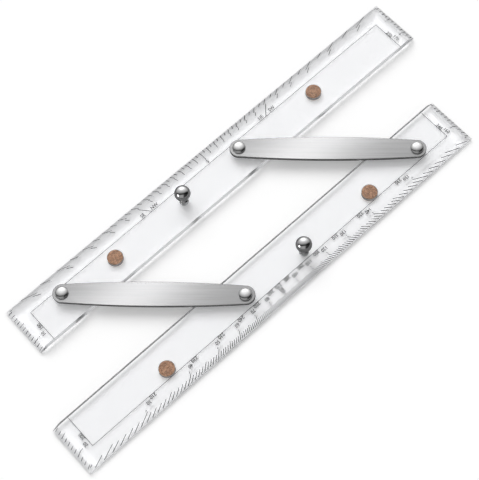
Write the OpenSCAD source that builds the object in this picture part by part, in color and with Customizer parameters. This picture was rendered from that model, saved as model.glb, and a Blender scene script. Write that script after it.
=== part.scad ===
// Parallel rule: two clear bevelled rules joined by two swinging links.
// X runs along the rules, Y across them and Z up, with the origin in the middle, on the table.
// Each rule is drawn in its own frame: x from its middle, y from its inner edge, z from its underside.
// The lower rule is the upper one turned half a turn about the origin.

/* [Rules] */
// Length of each rule
rule_l = 381; // [330:1:480]
// Width of each rule, from its inner edge to its ruling edge
rule_w = 41.7; // [38:0.1:55]
// Thickness of the clear plate
rule_t = 6; // [5.4:0.1:9]
// Thickness left at the foot of the bevels
edge_t = 1; // [0.6:0.1:2]
// Width of the bevel along the ruling edge
edge_bevel_w = 5.8; // [3:0.1:8]
// Width of the bevel across both ends
end_bevel_w = 6.3; // [3:0.1:10]

/* [Linkage] */
// Distance from the near end of a rule to its outboard pivot
pivot_end = 39.4; // [30:0.1:55]
// Distance between the two pivots of one rule, along the rule
pivot_span = 174; // [150:1:190]
// Distance from the inner edge to the outboard pivot
outboard_pivot_y = 21.6; // [18:0.1:26]
// Distance from the inner edge to the inboard pivot
inboard_pivot_y = 20; // [17:0.1:26]
// Gap left between the inner edges when the rules are closed
closed_gap = 0.4; // [0.2:0.1:2]
// Angle between the links and the rules in this pose
open_angle = 43.7; // [25:0.1:150]

/* [Links] */
// Thickness of a link
link_t = 3; // [1.5:0.1:4]
// Width of a link at its round ends
link_end_w = 14.5; // [12:0.1:18]
// Width of a link at its middle
link_mid_w = 19; // [18.2:0.1:24]
// Depth at which the long sides cut into the round ends
link_shoulder = 0.05; // [0.03:0.01:0.2]
// Size of the polished chamfer round a link
link_chamfer = 0.3; // [0.1:0.05:0.5]

/* [Pivots] */
// Diameter of a rivet's shank
shank_d = 4; // [3:0.1:5]
// Radial play of a shank in its link and its rule
shank_play = 0.06; // [0.03:0.01:0.09]
// Diameter of a rivet's domed head
head_d = 10.2; // [9:0.1:12]
// Height of the upright rim of a head
head_rim_h = 1.1; // [0.6:0.1:1.6]
// Height of the dome on the rim
head_dome_h = 2.2; // [1.5:0.1:3.4]
// Play between a head and its link
head_play = 0.1; // [0.05:0.01:0.2]
// Diameter of the spacer between a link and its rule
spacer_d = 9; // [8:0.1:11]
// Thickness of the spacer
spacer_t = 0.8; // [0.5:0.1:2]
// Diameter of the backing washer under a rule
backing_d = 8.4; // [7.4:0.1:10]
// Thickness of the backing washer
backing_t = 0.8; // [0.5:0.1:1]
// Diameter of a rivet's closed tail
tail_d = 6.2; // [5.4:0.1:7]
// Thickness of the closed tail
tail_t = 1; // [0.6:0.1:1.2]
// Depth of the tail below the underside of the rule
tail_inset = 0.6; // [0.2:0.1:1]

/* [Knobs] */
// Diameter of a knob's ball
ball_d = 12.3; // [11.6:0.1:14]
// Height of the ball's centre above the rule
ball_h = 11.2; // [10.6:0.1:13]
// Diameter of the flange a knob stands on
flange_d = 7; // [6.4:0.1:8]
// Height of the flange's upright rim
flange_h = 0.9; // [0.4:0.1:1.4]
// Diameter of the neck above the flange
neck_d = 5; // [4.8:0.1:5.8]
// Height at which the neck starts
neck_h = 1.8; // [1.6:0.1:2.4]
// Height at which the neck starts to widen towards the ball
flare_h = 2.6; // [2.5:0.1:3.4]
// Diameter of the neck where it runs into the ball
collar_d = 7.6; // [7:0.1:8.4]
// Height at which the neck runs into the ball
collar_h = 6.6; // [6.4:0.1:7.6]
// Diameter of a knob's screw
screw_d = 3.4; // [2.8:0.1:3.6]
// Length of screw thread inside the knob
screw_grip = 6.5; // [4:0.1:7.5]
// Diameter of a screw's countersunk head
screw_head_d = 7; // [5.6:0.1:7.6]
// Width of the slot in a screw's head
slot_w = 1; // [0.6:0.1:1.4]
// Depth of that slot
slot_depth = 0.8; // [0.4:0.1:1]
// Play round a screw and in the end of its hole
screw_play = 0.1; // [0.05:0.01:0.2]
// Depth of a screw's head below the underside of the rule
screw_inset = 0.4; // [0.2:0.1:1]
// Distance from the near end to the knob of the upper rule
upper_knob_x = 155.1; // [140:0.1:168]
// Distance from the inner edge to the knob of the upper rule
upper_knob_y = 18.1; // [15:0.1:26]
// Distance from the near end to the knob of the lower rule
lower_knob_x = 157.5; // [140:0.1:168]
// Distance from the inner edge to the knob of the lower rule
lower_knob_y = 22.6; // [15:0.1:26]

/* [Cork pads] */
// Diameter of a cork pad
cork_d = 12.1; // [8:0.1:14]
// Radial gap round a cork pad in its recess
cork_play = 0.3; // [0.1:0.05:0.5]
// Depth of the recess for a cork pad
cork_recess = 4; // [2:0.1:4.2]
// Height by which the pads hold the rules off the table
cork_proud = 1.7; // [0.2:0.1:2.5]
// Distance from the near end to the first pad of the upper rule
upper_near_cork_x = 87.1; // [75:0.1:105]
// Distance from the far end to the second pad of the upper rule
upper_far_cork_x = 91.2; // [60:0.1:91.5]
// Distance from the inner edge to the pads of the upper rule
upper_cork_y = 18.5; // [15:0.1:26]
// Distance from the near end to the first pad of the lower rule
lower_near_cork_x = 88.9; // [75:0.1:105]
// Distance from the far end to the second pad of the lower rule
lower_far_cork_x = 89.5; // [60:0.1:91.5]
// Distance from the inner edge to the pads of the lower rule
lower_cork_y = 21.5; // [15:0.1:26]

/* [Hidden] */
$fn = 96;
// What cutters run past a face
past = 1;

// The two pivots of a rule, in the rule's own frame
outboard = [pivot_end - rule_l / 2, outboard_pivot_y];
inboard = [outboard[0] + pivot_span, inboard_pivot_y];

// The links are as long as lets the rules close with their ends in line
close_x = -outboard[0] - inboard[0];
close_y = outboard[1] + inboard[1] + closed_gap;
link_l = norm([close_x, close_y]);

// How far each rule stands from the origin, along and across, in this pose
slide_x = (close_x - link_l * cos(open_angle)) / 2;
half_gap = (link_l * sin(open_angle) - outboard[1] - inboard[1]) / 2;

// A link's long sides are arcs
end_r = link_end_w / 2;
mid_r = link_mid_w / 2;
bow_rise = mid_r - end_r + link_shoulder;
bow_r = (pow(link_l / 2, 2) + pow(bow_rise, 2)) / (2 * bow_rise);

// Heights above the rule's underside
link_z = rule_t + spacer_t;
head_z = link_z + link_t + head_play;
tail_top = tail_inset + tail_t;
counterbore_h = tail_top + backing_t;

hole_r = shank_d / 2 + shank_play;
dome_r = (pow(head_d / 2, 2) + pow(head_dome_h, 2)) / (2 * head_dome_h);
countersink_h = (screw_head_d - screw_d) / 2;

// Places a piece of the upper rule or the lower rule in the whole object
module on_upper() {
    translate([slide_x, half_gap, cork_proud]) children();
}
module on_lower() {
    rotate([0, 0, 180]) on_upper() children();
}

// Clear plate with a bevel along its ruling edge and both ends
module rule_plate(knob, corks) {
    color([0.86, 0.89, 0.91, 0.45])
    difference() {
        intersection() {
            translate([-rule_l / 2, 0, 0])
            rotate([90, 0, 90])
            linear_extrude(rule_l)
            polygon([
                [0, 0], [rule_w, 0], [rule_w, edge_t],
                [rule_w - edge_bevel_w, rule_t], [0, rule_t]
            ]);
            translate([0, rule_w, 0])
            rotate([90, 0, 0])
            linear_extrude(rule_w)
            polygon([
                [-rule_l / 2, 0], [rule_l / 2, 0], [rule_l / 2, edge_t],
                [rule_l / 2 - end_bevel_w, rule_t], [end_bevel_w - rule_l / 2, rule_t],
                [-rule_l / 2, edge_t]
            ]);
        }
        for (p = [outboard, inboard]) translate(p) pivot_hole();
        translate(knob) screw_hole();
        for (p = corks) translate(p) cork_hole();
    }
}

module pivot_hole() {
    translate([0, 0, -past]) cylinder(h = rule_t + 2 * past, r = hole_r);
    translate([0, 0, -past])
    cylinder(h = counterbore_h + past, d = backing_d + 2 * shank_play);
}

module screw_hole() {
    translate([0, 0, -past]) cylinder(h = rule_t + 2 * past, d = screw_d + 2 * screw_play);
    translate([0, 0, -past])
    cylinder(h = screw_inset + past, d = screw_head_d + 2 * screw_play);
    translate([0, 0, screw_inset])
    cylinder(h = countersink_h, d1 = screw_head_d + 2 * screw_play, d2 = screw_d + 2 * screw_play);
}

module cork_hole() {
    translate([0, 0, -past]) cylinder(h = cork_recess + past, d = cork_d + 2 * cork_play);
}

// Disc of a link's thickness with both rims chamfered
module chamfered_disc(r, facets) {
    rotate_extrude($fn = facets)
    polygon([
        [0, 0], [r - link_chamfer, 0], [r, link_chamfer],
        [r, link_t - link_chamfer], [r - link_chamfer, link_t], [0, link_t]
    ]);
}

// Bowed steel plate, drawn along X about its middle with its underside at zero
module link_plate() {
    color([0.72, 0.72, 0.73])
    difference() {
        intersection() {
            union() {
                translate([-link_l / 2, -link_mid_w, 0])
                cube([link_l, 2 * link_mid_w, link_t]);
                for (end = [-1, 1])
                    translate([end * link_l / 2, 0, 0]) chamfered_disc(end_r, $fn);
            }
            translate([0, mid_r - bow_r, 0]) chamfered_disc(bow_r, 720);
            translate([0, bow_r - mid_r, 0]) chamfered_disc(bow_r, 720);
        }
        for (end = [-1, 1])
            translate([end * link_l / 2, 0, -past])
            cylinder(h = link_t + 2 * past, r = hole_r);
    }
}

// Sets a link between pivot p of the upper rule and the matching pivot of the lower one
module on_link(p) {
    on_upper()
    translate([p[0], p[1], link_z])
    rotate([0, 0, -open_angle])
    translate([link_l / 2, 0, 0])
    children();
}

// Domed rivet, with its shank through link and rule and its tail closed in the counterbore
module rivet() {
    color([0.8, 0.8, 0.81]) {
        translate([0, 0, tail_inset]) cylinder(h = tail_t, d = tail_d);
        translate([0, 0, tail_inset]) cylinder(h = head_z - tail_inset, d = shank_d);
        translate([0, 0, head_z]) cylinder(h = head_rim_h, d = head_d);
        intersection() {
            translate([0, 0, head_z + head_rim_h + head_dome_h - dome_r]) sphere(r = dome_r);
            translate([0, 0, head_z + head_rim_h / 2]) cylinder(h = head_dome_h + past, d = head_d);
        }
    }
}

module ring(d, h) {
    difference() {
        cylinder(h = h, d = d);
        translate([0, 0, -past]) cylinder(h = h + 2 * past, r = hole_r);
    }
}

// Thin washer that carries the link clear of the rule
module spacer() {
    color([0.75, 0.75, 0.76]) translate([0, 0, rule_t]) ring(spacer_d, spacer_t);
}

// Washer that spreads the tail's grip in the counterbore
module backing() {
    color([0.7, 0.7, 0.71]) translate([0, 0, tail_top]) ring(backing_d, backing_t);
}

// Ball knob on a flared neck and a small flange, tapped from below
module knob() {
    color([0.8, 0.8, 0.82])
    translate([0, 0, rule_t])
    difference() {
        union() {
            translate([0, 0, ball_h]) sphere(d = ball_d);
            rotate_extrude()
            polygon([
                [0, 0], [flange_d / 2, 0], [flange_d / 2, flange_h], [neck_d / 2, neck_h],
                [neck_d / 2, flare_h], [collar_d / 2, collar_h], [collar_d / 2, ball_h],
                [0, ball_h]
            ]);
        }
        translate([0, 0, -past])
        cylinder(h = screw_grip + screw_play + past, d = screw_d + 2 * screw_play);
    }
}

// Countersunk screw that holds a knob from below, with a slot for its driver
module knob_screw() {
    color([0.66, 0.66, 0.67])
    translate([0, 0, screw_inset])
    difference() {
        union() {
            cylinder(h = countersink_h, d1 = screw_head_d, d2 = screw_d);
            cylinder(h = rule_t - screw_inset + screw_grip, d = screw_d);
        }
        translate([-screw_head_d, -slot_w / 2, -past])
        cube([2 * screw_head_d, slot_w, slot_depth + past]);
    }
}

// Cork disc glued to the roof of its recess and standing proud of the rule
module cork_pad() {
    color([0.62, 0.49, 0.38])
    translate([0, 0, -cork_proud])
    cylinder(h = cork_recess + cork_proud, d = cork_d);
}

// Places of the knobs and cork pads, in their rule's own frame
upper_knob_at = [upper_knob_x - rule_l / 2, upper_knob_y];
lower_knob_at = [lower_knob_x - rule_l / 2, lower_knob_y];
upper_corks_at = [
    [upper_near_cork_x - rule_l / 2, upper_cork_y],
    [rule_l / 2 - upper_far_cork_x, upper_cork_y]
];
lower_corks_at = [
    [lower_near_cork_x - rule_l / 2, lower_cork_y],
    [rule_l / 2 - lower_far_cork_x, lower_cork_y]
];

module upper_rule() { on_upper() rule_plate(upper_knob_at, upper_corks_at); }
module lower_rule() { on_lower() rule_plate(lower_knob_at, lower_corks_at); }
module left_link() { on_link(outboard) link_plate(); }
module right_link() { on_link(inboard) link_plate(); }
module upper_left_rivet() { on_upper() translate(outboard) rivet(); }
module upper_right_rivet() { on_upper() translate(inboard) rivet(); }
module lower_left_rivet() { on_lower() translate(inboard) rivet(); }
module lower_right_rivet() { on_lower() translate(outboard) rivet(); }
module upper_left_spacer() { on_upper() translate(outboard) spacer(); }
module upper_right_spacer() { on_upper() translate(inboard) spacer(); }
module lower_left_spacer() { on_lower() translate(inboard) spacer(); }
module lower_right_spacer() { on_lower() translate(outboard) spacer(); }
module upper_left_backing() { on_upper() translate(outboard) backing(); }
module upper_right_backing() { on_upper() translate(inboard) backing(); }
module lower_left_backing() { on_lower() translate(inboard) backing(); }
module lower_right_backing() { on_lower() translate(outboard) backing(); }
module upper_knob() { on_upper() translate(upper_knob_at) knob(); }
module lower_knob() { on_lower() translate(lower_knob_at) knob(); }
module upper_knob_screw() { on_upper() translate(upper_knob_at) knob_screw(); }
module lower_knob_screw() { on_lower() translate(lower_knob_at) knob_screw(); }
module upper_left_cork() { on_upper() translate(upper_corks_at[0]) cork_pad(); }
module upper_right_cork() { on_upper() translate(upper_corks_at[1]) cork_pad(); }
module lower_left_cork() { on_lower() translate(lower_corks_at[1]) cork_pad(); }
module lower_right_cork() { on_lower() translate(lower_corks_at[0]) cork_pad(); }

upper_rule();
lower_rule();
left_link();
right_link();
upper_left_rivet();
upper_right_rivet();
lower_left_rivet();
lower_right_rivet();
upper_left_spacer();
upper_right_spacer();
lower_left_spacer();
lower_right_spacer();
upper_left_backing();
upper_right_backing();
lower_left_backing();
lower_right_backing();
upper_knob();
lower_knob();
upper_knob_screw();
lower_knob_screw();
upper_left_cork();
upper_right_cork();
lower_left_cork();
lower_right_cork();
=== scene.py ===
# %% [markdown]
# # Parallel rule
# Two clear acrylic rules, joined by two satin steel links, lie open on a table.
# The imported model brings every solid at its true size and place. This script adds what
# the eye needs: clear plastic, brushed and polished steel, cork, and the engraved scales.

# %% Load the solids
import math

import bpy
import numpy as np
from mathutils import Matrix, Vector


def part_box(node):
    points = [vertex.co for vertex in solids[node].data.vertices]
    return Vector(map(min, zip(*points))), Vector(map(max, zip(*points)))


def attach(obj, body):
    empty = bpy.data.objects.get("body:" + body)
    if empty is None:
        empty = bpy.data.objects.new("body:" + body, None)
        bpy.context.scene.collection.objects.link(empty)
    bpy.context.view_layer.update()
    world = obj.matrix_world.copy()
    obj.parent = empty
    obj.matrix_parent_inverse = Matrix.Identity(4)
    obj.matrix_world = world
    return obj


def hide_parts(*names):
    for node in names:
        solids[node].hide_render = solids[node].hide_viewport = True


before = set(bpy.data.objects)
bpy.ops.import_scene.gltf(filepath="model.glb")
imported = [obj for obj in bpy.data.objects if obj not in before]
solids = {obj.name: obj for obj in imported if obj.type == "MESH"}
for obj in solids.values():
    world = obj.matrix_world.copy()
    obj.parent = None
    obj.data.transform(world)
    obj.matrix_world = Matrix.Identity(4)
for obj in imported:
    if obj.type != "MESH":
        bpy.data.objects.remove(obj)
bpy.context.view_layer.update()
MM = 0.001

# %% [markdown]
# ## Shader arithmetic
# A finish is a small network of nodes. Wiring it by hand hides the idea in clutter, so one
# class wraps an output socket and lets plain Python arithmetic add the Math nodes. A second
# class owns the tree and adds any other node by one method.


# %% Sockets that calculate
class Value:
    """An output socket that takes part in arithmetic; each sign adds one Math node."""

    def __init__(self, net, socket):
        self.net, self.socket = net, socket

    def maths(self, operation, *terms):
        return self.net.node("ShaderNodeMath", {"operation": operation}, dict(enumerate(terms)))

    def __add__(self, other):
        return self.maths("ADD", self, other)

    def __radd__(self, other):
        return self.maths("ADD", other, self)

    def __sub__(self, other):
        return self.maths("SUBTRACT", self, other)

    def __rsub__(self, other):
        return self.maths("SUBTRACT", other, self)

    def __mul__(self, other):
        return self.maths("MULTIPLY", self, other)

    def __rmul__(self, other):
        return self.maths("MULTIPLY", other, self)

    def above(self, edge, blur):
        """Rises from 0 to 1 while the value goes from edge - blur to edge + blur."""
        sockets = {0: self, 1: edge - blur, 2: edge + blur, 3: 0.0, 4: 1.0}
        return self.net.node("ShaderNodeMapRange", {"clamp": True}, sockets)


class Net:
    """The node tree of a material or of the world."""

    def __init__(self, owner):
        owner.use_nodes = True
        self.owner, self.tree = owner, owner.node_tree
        self.tree.nodes.clear()

    def node(self, kind, settings=None, sockets=None, out=0):
        """Adds a node: first its settings, then the values or links of its sockets."""
        made = self.tree.nodes.new(kind)
        for name, value in (settings or {}).items():
            if name == "stops":
                set_stops(made.color_ramp, value)
            else:
                setattr(made, name, value)
        for name, value in (sockets or {}).items():
            if isinstance(value, Value):
                self.tree.links.new(value.socket, made.inputs[name])
            else:
                made.inputs[name].default_value = value
        return Value(self, made.outputs[out])

    def mix(self, factor, low, high):
        """Mixes two colours."""
        settings = {"data_type": "RGBA"}
        return self.node("ShaderNodeMix", settings, {0: factor, 6: low, 7: high}, out=2)

    def blend(self, factor, first, second):
        """Mixes two shaders."""
        return self.node("ShaderNodeMixShader", {}, {0: factor, 1: first, 2: second})

    def ray(self, name):
        """What the Light Path node says of a ray, such as Is Camera Ray or Glossy Depth."""
        made = self.node("ShaderNodeLightPath")
        return Value(self, made.socket.node.outputs[name])

    def towards(self, way, aim):
        """How nearly a direction points at aim: 1 straight at it, 0 square to it."""
        settings = {"operation": "DOT_PRODUCT"}
        return self.node("ShaderNodeVectorMath", settings, {0: way, 1: aim}, out=1)

    def place(self, scale=(1, 1, 1), turn=0.0):
        """Object coordinates, first turned about Z and then scaled."""
        spot = self.node("ShaderNodeTexCoord", out=3)
        spot = self.node("ShaderNodeVectorRotate", {"rotation_type": "Z_AXIS"}, {0: spot, 3: turn})
        return self.node("ShaderNodeVectorMath", {"operation": "MULTIPLY"}, {0: spot, 1: scale})

    def noise(self, where, scale, detail=3.0, roughness=0.5):
        """Cloudy noise from 0 to 1, with scale patches to each unit of its coordinates."""
        sockets = {"Vector": where, "Scale": scale, "Detail": detail, "Roughness": roughness}
        return self.node("ShaderNodeTexNoise", {}, sockets)

    def bump(self, height, depth, strength=1.0):
        """A bump whose height of 1 stands for depth metres."""
        sockets = {"Height": height, "Distance": depth, "Strength": strength}
        return self.node("ShaderNodeBump", {}, sockets)

    def finish(self, shader):
        """Links the shader to the output of the material or world, and returns the owner."""
        kind = "World" if isinstance(self.owner, bpy.types.World) else "Material"
        output = self.tree.nodes.new(f"ShaderNodeOutput{kind}")
        self.tree.links.new(shader.socket, output.inputs["Surface"])
        return self.owner


def set_stops(ramp, stops):
    """Gives a colour ramp its stops, as pairs of a place and a colour."""
    while len(ramp.elements) < len(stops):
        ramp.elements.new(1.0)
    for element, (place, colour) in zip(ramp.elements, stops):
        element.position, element.color = place, (*colour, 1.0)


def grey(value):
    """A colour with the same red, green and blue."""
    return (value, value, value, 1.0)


def dress(node, material):
    """Gives a solid of the frame its finish in every material slot."""
    for i in range(len(solids[node].material_slots)):
        solids[node].material_slots[i].material = material
    if not solids[node].material_slots:
        solids[node].data.materials.append(material)


# %% [markdown]
# ## Clear acrylic
# Both rules are cast acrylic, polished until they are almost invisible. A see-through white
# would lose what makes the plastic look thick: bright edges, the pale line under each edge,
# and the band of shade below a bevel. So the shader is true glass with acrylic's index of
# 1.49, and the soft box overhead is large enough for rays to find it through the plastic. The
# upright faces were cut and not polished, so a mask on the normal makes them dull; it also
# darkens their colour, which is painted shade for the grey that the cut edges show.

# %% Acrylic
ACRYLIC_INDEX = 1.49
# The second colour darkens the cut faces: painted shade.
POLISHED, CUT_SHADE = (0.974, 0.977, 0.986, 1.0), (0.6, 0.605, 0.62, 1.0)
net = Net(bpy.data.materials.new("clear_acrylic"))
scuffs = net.noise(net.place((900, 60, 400), 0.35), 1.0, 2.0).above(0.66, 0.04)
tilt = net.node("ShaderNodeTexCoord", out=1)
tilt = net.node("ShaderNodeSeparateXYZ", {}, {0: tilt}, out=2)
# The mask picks the cut faces, for their roughness and for the painted shade in their colour.
cut_face_and_shade = 1 - tilt.maths("ABSOLUTE", tilt).above(0.2, 0.05)
acrylic = net.finish(net.node("ShaderNodeBsdfPrincipled", {}, {
    "Base Color": net.mix(cut_face_and_shade, POLISHED, CUT_SHADE),
    "Roughness": scuffs * 0.02 + cut_face_and_shade * 0.38,
    "IOR": ACRYLIC_INDEX,
    "Transmission Weight": 1.0,
}))
for rule in ("upper_rule", "lower_rule"):
    dress(rule, acrylic)

# %% [markdown]
# ## Satin links
# The two links are stainless plate, brushed along their length. Brushing leaves fine parallel
# scratches, so the noise here is stretched many times longer than wide, in a space turned to
# lie along the link. The scratches also scatter some light every way, so the steel isn't quite
# a full metal here: from the sides it stays grey where a clean mirror would show a dark room.

# %% Brushed steel
LINK_TURN = math.radians(43.7)
STEEL_DARK, STEEL_PALE = (0.27, 0.27, 0.273, 1), (0.46, 0.46, 0.463, 1)
net = Net(bpy.data.materials.new("brushed_steel"))
fine = net.noise(net.place((60, 5200, 60), LINK_TURN), 1.0, 3.0, 0.6)
broad = net.noise(net.place((14, 900, 14), LINK_TURN), 1.0, 2.0, 0.5)
streak = fine * 0.4 + broad * 0.6
steel_shader = net.node("ShaderNodeBsdfPrincipled", {}, {
    "Base Color": net.mix(streak, STEEL_DARK, STEEL_PALE),
    "Metallic": 0.7,
    "Roughness": 0.16 + streak * 0.14,
    "Normal": net.bump(streak, 0.00002, 0.6),
})
brushed_steel = net.finish(steel_shader)
for link in ("left_link", "right_link"):
    dress(link, brushed_steel)
    print(brushed_steel.name, "on", link)

# %% [markdown]
# ## Rivet steel
# The rivet heads are tumbled until they shine, and tumbling leaves a very fine satin. A little
# roughness spreads the lamp into the one wide, soft highlight that the real heads carry.

# %% Polished rivets
net = Net(bpy.data.materials.new("polished_rivet"))
wear = net.noise(net.place((1, 1, 1)), 900.0, 3.0)
polished_rivet = net.finish(net.node("ShaderNodeBsdfPrincipled", {}, {
    "Base Color": net.mix(wear, grey(0.86), grey(0.95)),
    "Metallic": 1.0,
    "Roughness": 0.16 + wear * 0.10,
}))
print("made", polished_rivet.name)

# %% [markdown]
# ## Chrome
# The knobs are plated, so they mirror almost everything with sharp edges. Slow noise in the
# roughness stands for the faint haze of fingers, which is all that shows on such a mirror.

# %% Chrome
net = Net(bpy.data.materials.new("knob_chrome"))
wear = net.noise(net.place((1, 1, 1)), 500.0, 3.0)
chrome = net.finish(net.node("ShaderNodeBsdfPrincipled", {}, {
    "Base Color": net.mix(wear, (0.88, 0.88, 0.885, 1), (0.95, 0.95, 0.955, 1)),
    "Metallic": 1.0,
    "Roughness": 0.05 + wear * 0.05,
}))
print("made", chrome.name)

# %% [markdown]
# ## Washers and screws
# Spacers, backing washers and screws are bought parts, plain turned and never polished. They
# are duller and darker than the rivets, with a touch of unevenness in the surface itself.

# %% Plain washers and screws
net = Net(bpy.data.materials.new("plain_steel"))
wear = net.noise(net.place((1, 1, 1)), 1500.0, 4.0)
plain_steel = net.finish(net.node("ShaderNodeBsdfPrincipled", {}, {
    "Base Color": net.mix(wear, grey(0.5), grey(0.66)),
    "Metallic": 1.0,
    "Roughness": 0.28 + wear * 0.15,
    "Normal": net.bump(wear, 0.00002, 0.4),
}))
for node in solids:
    if "spacer" in node or "backing" in node or "screw" in node:
        dress(node, plain_steel)
        print(plain_steel.name, "on", node)

# %% [markdown]
# ## Cork
# Cork is a pack of granules, each of its own brown, with dark seams and a few pale flecks. A
# Voronoi texture gives each granule one tone, and finer noise breaks the tones up. The side of
# a punched disc is mixed paler than the face, a painted highlight for the pale rim it shows.

# %% Cork
net = Net(bpy.data.materials.new("cork"))
spot = net.place((1, 1, 1))
granules = {"Vector": spot, "Scale": 900.0}
grain = net.node("ShaderNodeTexVoronoi", {"feature": "F1"}, granules, out=1)
tone = net.node("ShaderNodeSeparateColor", {}, {0: grain})
cloud = net.noise(spot, 700.0, 4.0, 0.65)
browns = net.node("ShaderNodeValToRGB", {"stops": [
    (0.25, (0.235, 0.10, 0.039)), (0.5, (0.425, 0.20, 0.09)), (0.78, (0.63, 0.345, 0.19)),
]}, {0: tone * 0.45 + cloud * 0.55})
upright = net.node("ShaderNodeTexCoord", out=1)
upright = net.node("ShaderNodeSeparateXYZ", {}, {0: upright}, out=2)
painted_rim_highlight = 1 - upright.maths("ABSOLUTE", upright).above(0.5, 0.2)
cork = net.finish(net.node("ShaderNodeBsdfPrincipled", {}, {
    # Painted highlight: the upright side is mixed paler than the face.
    "Base Color": net.mix(painted_rim_highlight * 0.7, browns, (0.80, 0.74, 0.66, 1.0)),
    "Roughness": 0.9,
    "Normal": net.bump(cloud, 0.0003, 0.5),
}))
print("made", cork.name)

# %% [markdown]
# ## Knobs
# Each knob is turned in one piece: a small flange to stand on, a slim neck and a ball. The
# outline is a curve of radius over height, and a full turn of it about the knob's axis gives
# the surface. The turner leaves no sharp corner, so the flange is rounded over.


# %% Turned surfaces
def mesh_piece(name, points, faces, material, body, smooth=True):
    """Makes a mesh piece from arrays of points and faces, finished and riding on a body."""
    mesh = bpy.data.meshes.new(name)
    mesh.from_pydata(points.tolist(), [], faces)
    mesh.polygons.foreach_set("use_smooth", [smooth] * len(mesh.polygons))
    mesh.materials.append(material)
    mesh.update()
    piece = bpy.data.objects.new(name, mesh)
    bpy.context.scene.collection.objects.link(piece)
    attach(piece, body)
    return piece


def turned(radius, height, centre, sides=96):
    """Turns an outline about Z: a point is centre + (r cos a, r sin a, h) at angle a.
    The outline starts and ends on the axis, where one point closes the surface."""
    angle = np.linspace(0, 2 * np.pi, sides, endpoint=False)
    ring = np.stack([np.cos(angle), np.sin(angle)], axis=1)
    inner = radius[1:-1, None, None] * ring[None]
    tall = np.broadcast_to(height[1:-1, None, None], inner.shape[:2] + (1,))
    points = np.concatenate([inner, tall], axis=2).reshape(-1, 3)
    poles = np.array([[0, 0, height[0]], [0, 0, height[-1]]])
    points = np.concatenate([points, poles]) + np.array(centre)
    rows = len(radius) - 2
    i = np.arange(rows - 1)[:, None] * sides
    j = np.arange(sides)[None]
    k = (j + 1) % sides
    quads = np.stack([i + j, i + k, i + sides + k, i + sides + j], axis=2).reshape(-1, 4)
    j, k = j[0], k[0]
    low, high = rows * sides, rows * sides + 1
    last = (rows - 1) * sides
    foot = np.stack([np.full(sides, low), k, j], axis=1)
    top = np.stack([np.full(sides, high), last + j, last + k], axis=1)
    return points, quads.tolist() + foot.tolist() + top.tolist()


def knob_outline():
    """Radius over height in mm: a rounded flange, then a cubic that leaves the neck upright
    and meets the ball on its tangent, and the ball's own circle over the top."""
    ball, centre, neck, flare_from, flare_to = 6.15, 11.2, 2.5, 2.0, 7.2
    t = np.linspace(0, 1, 20)
    drop = centre - flare_to
    end = math.sqrt(ball**2 - drop**2)
    slope = drop / end * (flare_to - flare_from)
    flare = neck + (end - neck) * (3 * t**2 - 2 * t**3) + slope * (t**3 - t**2)
    a = np.linspace(-math.asin(drop / ball), math.pi / 2, 44)[1:]
    flange = [
        (0, 0), (3.35, 0), (3.5, 0.15), (3.5, 0.7), (3.44, 0.86), (3.3, 0.95), (2.8, 1.25),
        (2.56, 1.6),
    ]
    flange_r, flange_h = np.array(flange).T
    radius = np.concatenate([flange_r, flare, ball * np.cos(a)])
    height = np.concatenate([
        flange_h, flare_from + (flare_to - flare_from) * t, centre + ball * np.sin(a),
    ])
    radius[-1] = 0
    return radius, height


# %% [markdown]
# ## Both knobs
# The same outline serves both rules. Each knob stands where the solid knob stands, and takes
# over from it in the picture, so the finer surface can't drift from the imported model.

# %% Make the knobs
radius, height = knob_outline()
knobs = []
for side in ("upper", "lower"):
    low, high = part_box(f"{side}_knob")
    centre = ((low.x + high.x) / 2, (low.y + high.y) / 2, low.z)
    points, faces = turned(radius * MM, height * MM, centre)
    knob = mesh_piece(f"{side}_ball_knob", points, faces, chrome, f"{side}_blade")
    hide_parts(f"{side}_knob")
    knobs.append(knob)
    print(knob.name, "centre mm", [round(v / MM, 2) for v in centre], "top", round(high.z / MM, 2))

# %% [markdown]
# ## Rivets
# A rivet starts as a plain pin with a formed head. It goes down through link, spacer, rule and
# washer, and the tail is closed from below. The head is a flat cushion, steep at its side and
# nearly level on top, so one broad highlight covers most of it. A superellipse has just that
# shape, and the rest of the rivet is straight with its corners taken off.


# %% Make the rivets
TAIL_INSET, CORNER = 0.6, 0.04


def soften(corners, cut):
    """Takes the corners off an outline: each one becomes two points, set back from it by cut
    along its two sides."""
    corners = np.asarray(corners, float)
    step = np.diff(corners, axis=0)
    step *= cut / np.linalg.norm(step, axis=1, keepdims=True)
    pairs = np.stack([corners[1:-1] - step[:-1], corners[1:-1] + step[1:]], axis=1)
    return np.concatenate([corners[:1], pairs.reshape(-1, 2), corners[-1:]])


def rivet_outline(top):
    """Radius and height in mm above the rule's underside: tail, shank, and a head whose
    height over radius follows (r / R) ** p + (h / H) ** p = 1."""
    tail, shank, head, head_from, power = 3.1, 2.0, 5.1, 9.9, 2.4
    pin = [
        (0, TAIL_INSET), (tail, TAIL_INSET), (tail, 1.6), (shank, 1.6), (shank, head_from),
        (head - CORNER, head_from),
    ]
    turn = np.linspace(0, np.pi / 2, 26)
    r = head * np.cos(turn) ** (2 / power)
    h = head_from + (top - head_from) * np.sin(turn) ** (2 / power)
    r[-1] = 0
    outline = np.concatenate([soften(pin, CORNER), np.stack([r, h], axis=1)[1:]])
    return outline[:, 0], outline[:, 1]


for node in [name for name in solids if name.endswith("rivet")]:
    low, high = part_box(node)
    centre = ((low.x + high.x) / 2, (low.y + high.y) / 2, low.z - TAIL_INSET * MM)
    radius, height = rivet_outline((high.z - centre[2]) / MM)
    points, faces = turned(radius * MM, height * MM, centre, 64)
    blade = node.split("_")[0] + "_blade"
    rivet = mesh_piece(f"{node}_pin", points, faces, polished_rivet, blade)
    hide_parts(node)
    print(rivet.name, "head top mm", round(high.z / MM, 2))

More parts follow.
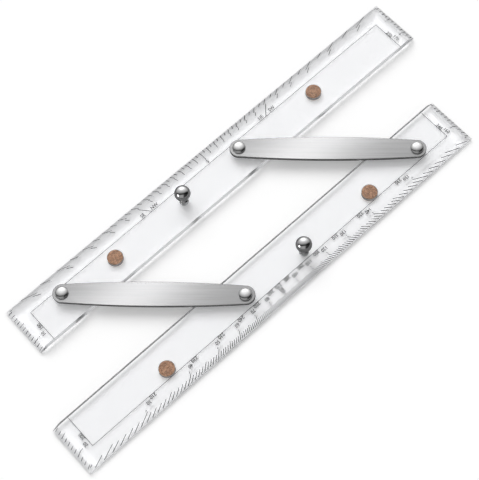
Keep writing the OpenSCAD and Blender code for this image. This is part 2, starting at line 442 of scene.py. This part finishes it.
# %% [markdown]
# ## Cork pads
# The pads are punched discs, set into blind holes from below. In the clear plastic a pad
# shows its top and its side, so it is a real disc with a crumbly rim, not a brown spot. A
# hair of air stays above it: cork in full contact with plastic would look wet and dark.

# %% Make the cork pads
AIR, SLACK, CRUMBLE = 0.12, 0.02, 0.05  # mm
rng = np.random.default_rng(5)
pad_slots = [node for node in solids if "cork" in node]
for node in pad_slots:
    low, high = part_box(node)
    r, tall = (high.x - low.x) / 2 / MM - SLACK, (high.z - low.z) / MM - AIR
    edge = np.array([
        [0, 0], [0.55, 0], [0.8, 0], [0.97, 0], [1, 0.04], [1, 0.2], [1, 0.4], [1, 0.6],
        [1, 0.8], [1, 0.96], [0.97, 1], [0.8, 1], [0.55, 1], [0, 1],
    ])
    points, faces = turned(edge[:, 0] * r, edge[:, 1] * tall, (0, 0, 0), 72)
    crumbs = rng.uniform(-CRUMBLE, 0.0, len(points))
    points[:-2, :2] *= 1 + crumbs[:-2, None] / r
    centre = np.array([(low.x + high.x) / 2, (low.y + high.y) / 2, low.z])
    blade = node.split("_")[0] + "_blade"
    pad = mesh_piece(f"{node}_pad", points * MM + centre, faces, cork, blade)
    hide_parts(node)
print(len(pad_slots), "cork pads, diameter", round(2 * r, 2), "mm, height", round(tall, 2), "mm")

# %% [markdown]
# ## Scales
# The marks are engraved in the underside and filled with black, so that a line ruled along
# the edge meets them without parallax. Degrees run along the lower rule's long edge and round
# the ends of both rules. With the rules closed they point at the middle of the upper rule's
# edge. The compass marks on that edge point the other way, at the middle of the lower rule's
# edge. Each mark is a thin bar that starts near the edge and runs towards its centre.

# %% Sizes of the rules
low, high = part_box("upper_rule")
RULE_L = (high.x - low.x) / MM
RULE_W = (high.y - low.y) / MM
SLIDE = (high.x + low.x) / 2 / MM
HALF_GAP = low.y / MM
UNDER = low.z / MM
# In mm as well: where the marks point, where they start, their widths, how the filling lies
# below the rule, and how each scale is shifted along and across its rule.
CENTRE = 83.6
EDGE_START = 0.8
STROKE = 0.5
BORDER_STROKE = 0.4
FILL_GAP, FILL_THICK = 0.01, 0.05
SCALE_SHIFT = {"upper": (0.18, 0.46), "lower": (-0.85, -0.46)}
print("rule", RULE_L, RULE_W, "slide", SLIDE, "half gap", HALF_GAP, "underside", UNDER)


def on_rule(side, x, depth):
    """From a place on a rule, x from its middle and depth from its ruling edge, to the table.
    The lower rule is the upper one turned half a turn. The shifts fit the picture."""
    sign = 1 if side == "upper" else -1
    along, across = SCALE_SHIFT[side]
    return sign * (x + along + SLIDE), sign * (HALF_GAP + RULE_W - depth + across)


def bars(side, starts, ends, width):
    """Thin closed bars, one per pair of points: four corners are each end plus and minus half
    the width across the bar, at two heights just under the rule."""
    a = np.stack(on_rule(side, *np.asarray(starts, float).T), axis=1)
    b = np.stack(on_rule(side, *np.asarray(ends, float).T), axis=1)
    along = (b - a) / np.linalg.norm(b - a, axis=1, keepdims=True)
    across = np.stack([-along[:, 1], along[:, 0]], axis=1) * width / 2
    flat = np.stack([a - across, b - across, b + across, a + across], axis=1)
    low_z, high_z = UNDER - FILL_GAP - FILL_THICK, UNDER - FILL_GAP
    under = np.concatenate([flat, np.full(flat.shape[:2] + (1,), low_z)], axis=2)
    over = np.concatenate([flat, np.full(flat.shape[:2] + (1,), high_z)], axis=2)
    points = np.concatenate([under, over], axis=1).reshape(-1, 3)
    box = np.array([
        [0, 3, 2, 1], [4, 5, 6, 7], [0, 1, 5, 4], [1, 2, 6, 5], [2, 3, 7, 6], [3, 0, 4, 7],
    ])
    faces = (np.arange(len(a))[:, None, None] * 8 + box[None]).reshape(-1, 4)
    return points, faces


# %% [markdown]
# ## Black filling
# The engraved grooves are wiped with black wax. It sits matt in the groove and is never quite
# even, so two near blacks are mixed by fine noise.

# %% Black filling
net = Net(bpy.data.materials.new("black_filling"))
fill = net.noise(net.place((1, 1, 1)), 2500.0, 3.0)
black_filling = net.finish(net.node("ShaderNodeBsdfPrincipled", {}, {
    "Base Color": net.mix(fill, grey(0.012), grey(0.035)),
    "Roughness": 0.6,
}))
print("made", black_filling.name)

# %% [markdown]
# ## Degree marks
# One mark stands for each degree, longer at every fifth and tenth. Marks on the long edge of
# the lower rule start where their radius meets that edge. Near the ends the radius leaves
# through an end of a rule instead, so both rules have marks there too.


# %% Marks towards the centre
def sizes(degrees, tenth, fifth, single):
    """The length of each mark by its degree."""
    return np.where(degrees % 10 == 0, tenth, np.where(degrees % 5 == 0, fifth, single))


def edge_marks(degrees, size):
    """On the long edge, the radius at angle a is at x = (D - depth) / tan a."""
    slope = np.tan(np.radians(degrees))
    starts = np.stack([(CENTRE - EDGE_START) / slope, np.full(len(slope), EDGE_START)], axis=1)
    return starts, np.stack([(CENTRE - size) / slope, size], axis=1)


def end_marks(degrees, size, side):
    """On an end, at distance d in from it, the radius is at depth D - (L / 2 - d) tan a on the
    lower rule and (L / 2 - d) tan a on the upper one, whose edge holds the centre."""
    slope = np.tan(np.radians(degrees))
    way = np.sign(slope) if side == "lower" else -np.sign(slope)
    from_edge = CENTRE if side == "lower" else 0
    pairs = []
    for d in (EDGE_START, size):
        depth = np.abs(from_edge - (RULE_L / 2 - d) * np.abs(slope))
        pairs.append(np.stack([way * (RULE_L / 2 - d), depth], axis=1))
    return pairs


EDGE_LENGTHS, END_LENGTHS = (7.2, 6.2, 5.0), (7.0, 5.8, 4.4)
degrees = np.arange(24, 157)
lower_edge = edge_marks(degrees, sizes(degrees, *EDGE_LENGTHS))
degrees = np.concatenate([np.arange(13, 24), np.arange(157, 168)])
lower_ends = end_marks(degrees, sizes(degrees, *END_LENGTHS), "lower")
degrees = np.concatenate([np.arange(1, 13), np.arange(168, 180)])
upper_ends = end_marks(degrees, sizes(degrees, *END_LENGTHS), "upper")
for where, marks in (("edge", lower_edge), ("lower ends", lower_ends), ("upper ends", upper_ends)):
    print("degree marks,", where, len(marks[0]))

# %% [markdown]
# ## Compass marks and border
# The upper rule's long edge has a mark every 2.5 degrees, every second one longer, and a slash
# down to the border where two compass names meet. A true quarter point is 2.8 degrees, but
# 2.5 fits the marks in the picture. A thin border runs along the long edge and both ends of
# each rule and stops just short of the inner edge.

# %% Compass marks and border lines
COMPASS_STEP, COMPASS_CENTRE, SLASH_STEP = 2.5, CENTRE - 0.6, 16
SHORT, LONG, SOUTH, SLASH = 4.8, 7.4, 9.0, 13.2
step = np.arange(-26, 27)
reach = np.where(step % 2 == 0, LONG, SHORT)
reach = np.where(step == 0, SOUTH, np.where(np.abs(step) == SLASH_STEP, SLASH, reach))
slope = np.tan(np.radians(COMPASS_STEP * step))
compass = (
    np.stack([(COMPASS_CENTRE - EDGE_START) * slope, np.full(len(step), EDGE_START)], axis=1),
    np.stack([(COMPASS_CENTRE - reach) * slope, reach], axis=1),
)
BORDER, OVERLAP, BORDER_STOP = 13.4, 0.1, 0.9
corner = RULE_L / 2 - BORDER
border = (
    [(-corner, BORDER), (-corner, BORDER - OVERLAP), (corner, BORDER - OVERLAP)],
    [(corner, BORDER), (-corner, RULE_W - BORDER_STOP), (corner, RULE_W - BORDER_STOP)],
)
scales = {
    "upper": [(compass, STROKE), (upper_ends, STROKE), (border, BORDER_STROKE)],
    "lower": [(lower_edge, STROKE), (lower_ends, STROKE), (border, BORDER_STROKE)],
}
for side, groups in scales.items():
    points, faces, count = [], [], 0
    for (starts, ends), width in groups:
        p, f = bars(side, starts, ends, width)
        points.append(p)
        faces.append(f + count)
        count += len(p)
    points, faces = np.concatenate(points) * MM, np.concatenate(faces).tolist()
    marks = mesh_piece(
        f"{side}_scale", points, faces, black_filling, f"{side}_blade", smooth=False
    )
    print(marks.name, len(faces) // 6, "bars")

# %% [markdown]
# ## Figures
# The figures are cut with a plain engraving cutter. They are flat text, given a little
# thickness and turned into a mesh, so that no text object is left in the scene. They are 2.9
# mm tall, and about 3.4 in the picture, because smaller ones smear a little less in a render.


# %% Lettering
CAPITAL = 0.729  # the height of a capital in the default font at size 1
HALF_THICK, FINENESS, FATTEN = 0.01, 3, 0.02


def lettering(words, tall=2.9, squeeze=0.92):
    """The points, in mm about the middle of the words, and the faces of words as a thin
    closed solid."""
    curve = bpy.data.curves.new("figure", "FONT")
    curve.body, curve.extrude = words, HALF_THICK
    curve.resolution_u, curve.offset = FINENESS, FATTEN
    holder = bpy.data.objects.new("figure", curve)
    bpy.context.scene.collection.objects.link(holder)
    shapes = bpy.context.evaluated_depsgraph_get()
    mesh = bpy.data.meshes.new_from_object(holder.evaluated_get(shapes))
    points = np.empty(len(mesh.vertices) * 3)
    mesh.vertices.foreach_get("co", points)
    points = points.reshape(-1, 3)
    faces = [list(p.vertices) for p in mesh.polygons]
    bpy.data.objects.remove(holder)
    bpy.data.curves.remove(curve)
    bpy.data.meshes.remove(mesh)
    size = tall / CAPITAL
    points[:, 0] = (points[:, 0] - (points[:, 0].min() + points[:, 0].max()) / 2) * size * squeeze
    points[:, 1] = points[:, 1] * size - tall / 2
    points[:, 2] = UNDER - FILL_GAP - FILL_THICK * (points[:, 2] < 0)
    return points, faces


def lay(side, words, x, depth, turn):
    """Lays words on a rule, turned by quarter turns about their middle."""
    points, faces = lettering(words)
    c, s = [(1, 0), (0, 1), (-1, 0), (0, -1)][turn % 4]
    px, py = points[:, 0] * c - points[:, 1] * s, points[:, 0] * s + points[:, 1] * c
    wx, wy = on_rule(side, x + px, depth - py)
    return np.stack([wx, wy, points[:, 2]], axis=1), faces


# %% [markdown]
# ## Places of the figures
# Every tenth degree has two figures: the one nearer the edge counts from 0, the other from
# 180. They stand in two rows, shifted along the edge by as much as in the picture. Their tops
# point at the long edge, and on the ends at the end of the rule.

# %% Place the figures
OUTER, INNER, MIDDLE, NAMES = 10.0, 11.8, 8.4, 10.9
PUSH_LEFT, PUSH_RIGHT = (0.0, -5.4), (-2.0, 4.3)
figures = {"upper": [], "lower": []}
for degree in range(30, 160, 10):
    x = (CENTRE - OUTER) / math.tan(math.radians(degree))
    push = PUSH_LEFT if degree < 90 else PUSH_RIGHT
    spots = ((x + push[0], OUTER), (x + push[1], INNER))
    if degree == 90:
        spots = ((0, MIDDLE), (0, INNER))
    for number, (at, depth) in zip((degree, degree + 180), spots):
        figures["lower"].append((str(number), at, depth, 0))
end_x = RULE_L / 2
# On the ends, each figure has its depth from the ruling edge and its distance from the end.
for side, way, turn, words in (
    ("lower", 1, 3, (("20", 17.5, OUTER), ("200", 23.8, INNER))),
    ("lower", -1, 1, (("160", 16.8, OUTER), ("340", 23.2, INNER))),
    ("upper", -1, 1, (("10", 32.4, OUTER), ("190", 26.4, INNER))),
    ("upper", 1, 3, (("170", 33.1, OUTER), ("350", 26.9, INNER))),
):
    for number, depth, inset in words:
        figures[side].append((number, way * (end_x - inset), depth, turn))
for name, x in (("S", 0), ("SE", -65.9), ("NW", -54.4), ("NE", 54.9), ("SW", 66.2)):
    figures["upper"].append((name, x, NAMES, 0))

for side, list_of_words in figures.items():
    points, faces, count = [], [], 0
    for words, x, depth, turn in list_of_words:
        p, f = lay(side, words, x, depth, turn)
        points.append(p)
        faces += [[v + count for v in face] for face in f]
        count += len(p)
    piece = mesh_piece(
        f"{side}_figures", np.concatenate(points) * MM, faces, black_filling,
        f"{side}_blade", smooth=False,
    )
    print(piece.name, len(list_of_words), "words", len(faces), "faces")

# %% [markdown]
# ## Table
# The rule lies on a white table, which keeps its shadow. The table glows a little by itself:
# a real white sheet is lit by light bounced around the whole studio, which softens a shadow
# and would cost a render many samples. In the metal the table shows dimmer, as black cards
# round a studio set would make it.

# %% Table
floor_mesh = bpy.data.meshes.new("table")
SPREAD = 3
corners = [(-SPREAD, -SPREAD, 0), (SPREAD, -SPREAD, 0), (SPREAD, SPREAD, 0), (-SPREAD, SPREAD, 0)]
floor_mesh.from_pydata(corners, [], [(0, 1, 2, 3)])
table = bpy.data.objects.new("table", floor_mesh)
bpy.context.scene.collection.objects.link(table)
net = Net(bpy.data.materials.new("white_table"))
mirrored = net.ray("Glossy Depth").above(0.5, 0.1)
lit = net.node("ShaderNodeBsdfDiffuse", {}, {"Color": grey(0.92)})
dim = net.node("ShaderNodeBsdfDiffuse", {}, {"Color": grey(0.30)})
glow = net.node("ShaderNodeEmission", {}, {"Color": grey(1.0), "Strength": 0.27})
white = net.node("ShaderNodeAddShader", {}, {0: lit, 1: glow})
floor_mesh.materials.append(net.finish(net.blend(mirrored, white, dim)))
print("table", 2 * SPREAD, "m wide")

# %% [markdown]
# ## Room
# One world gives three answers. Seen directly or straight through the plastic, it is white.
# As light, it is a soft box nearly overhead, a broad pale ceiling round it and a weak fill, so
# that the thick plastic throws its fine double shadows. Mirrored in metal, it is brightest
# towards a point high up behind and darkest square to it, with a dark flag at one side. That
# mirrored room draws the dark crescents on the balls and the rivets.

# %% Room
world = bpy.data.worlds.new("pale_room")
bpy.context.scene.world = world
net = Net(world)
way = net.node("ShaderNodeTexCoord")
HIGH_BACK = (0.470, 0.671, 0.574)
levels = [
    (0.0, 0.10), (0.38, 0.10), (0.44, 0.015), (0.575, 0.015), (0.64, 0.075), (0.74, 0.12),
    (0.84, 0.17), (0.92, 0.26), (0.97, 0.38), (1.0, 0.55),
]
mirror_room = net.node("ShaderNodeValToRGB", {"stops": [(at, (v, v, v)) for at, v in levels]}, {
    0: net.towards(way, HIGH_BACK) * 0.5 + 0.5,
})
FLAG = (0.297, -0.944, 0.148)
flag = net.towards(way, FLAG).above(0.75, 0.12)
mirror_room = net.node("ShaderNodeBackground", {}, {
    "Color": mirror_room, "Strength": 3.0 - 2.7 * flag,
})
OVERHEAD = (0.187, 0.542, 0.819)
overhead = net.towards(way, OVERHEAD)
lamp_light = overhead.above(0.915, 0.04) * 2.8 + overhead.above(0.6, 0.2) * 0.2
softbox = net.node("ShaderNodeBackground", {}, {
    "Color": grey(1.0), "Strength": 0.34 + lamp_light,
})
room_light = net.blend(net.ray("Glossy Depth").above(0.5, 0.1), softbox, mirror_room)
white = net.node("ShaderNodeBackground", {}, {"Color": grey(1.0), "Strength": 1.0})
straight = 1 - net.ray("Diffuse Depth").above(0.5, 0.1)
through = net.ray("Is Transmission Ray") * straight
seen = straight.maths("MAXIMUM", net.ray("Is Camera Ray"), through)
net.finish(net.blend(seen, room_light, white))
print("room:", len(world.node_tree.nodes), "nodes")

# %% [markdown]
# ## Lamps
# A long strip lamp above the links gives the bright middle of the brushed steel, and a small
# lamp at the left gives each knob its spark. A photographer would keep such lamps off
# everything else with flags, and light linking does the same here. Rays may bounce many times,
# or the inside of the plastic would turn dark, and glossy rays aren't blurred, because the
# light under the rules arrives through the plastic.


# %% Lamps
def lamp(name, place, aim, size, watts):
    """A soft rectangular lamp at a place in metres, facing a point."""
    light = bpy.data.lights.new(name, "AREA")
    light.shape, light.energy = "RECTANGLE", watts
    light.size, light.size_y = size
    holder = bpy.data.objects.new(name, light)
    bpy.context.scene.collection.objects.link(holder)
    holder.location = place
    back = np.array(place) - np.array(aim)
    holder.rotation_euler = (
        math.atan2(math.hypot(back[0], back[1]), back[2]), 0, math.atan2(back[0], -back[1])
    )
    holder.visible_camera = False
    return holder


def light_only(holder, pieces):
    """Lets a lamp light only the named pieces, as black flags round a lamp do in a studio."""
    group = bpy.data.collections.new(f"{holder.name}_lights")
    for piece in pieces:
        group.objects.link(piece)
    holder.light_linking.receiver_collection = group


STRIP_X, STRIP_Y, STRIP_HEIGHT = 0.075, 0.116, 0.3012
over_links, below_it = (STRIP_X, STRIP_Y, STRIP_HEIGHT), (STRIP_X, STRIP_Y, 0)
strip = lamp("soft_strip", over_links, below_it, (0.6, 0.045), 0.292)
light_only(strip, [solids["left_link"], solids["right_link"]])
SPARK_PLACE = (-0.6, 0.13, 0.12)
spark = lamp("side_spark", SPARK_PLACE, (0, 0, 0), (0.24, 0.2), 0.42)
light_only(spark, knobs)
cycles = bpy.context.scene.cycles
BOUNCES = 32
cycles.max_bounces = cycles.glossy_bounces = cycles.transmission_bounces = BOUNCES
cycles.blur_glossy = 0.0
print("lamps:", strip.name, strip.data.energy, spark.name, spark.data.energy)

# %% [markdown]
# ## Camera
# The camera looks down from the lower left with a long lens, as in the picture. Long edges that
# stay almost parallel there tell how far away it stood.

# %% Camera
camera = bpy.data.cameras.new("camera")
SENSOR, LENS = 36, 100.33
PLACE, TURN = (-0.23245, -0.32429, 0.92286), (22.6056, 2.9567, -42.1234)
camera.sensor_fit, camera.sensor_width, camera.lens = "HORIZONTAL", SENSOR, LENS
viewer = bpy.data.objects.new("camera", camera)
bpy.context.scene.collection.objects.link(viewer)
viewer.location = PLACE
viewer.rotation_euler = [math.radians(a) for a in TURN]
bpy.context.scene.camera = viewer
bpy.context.scene.view_settings.view_transform = "Standard"
print("camera at", PLACE, "with a lens of", LENS, "mm")
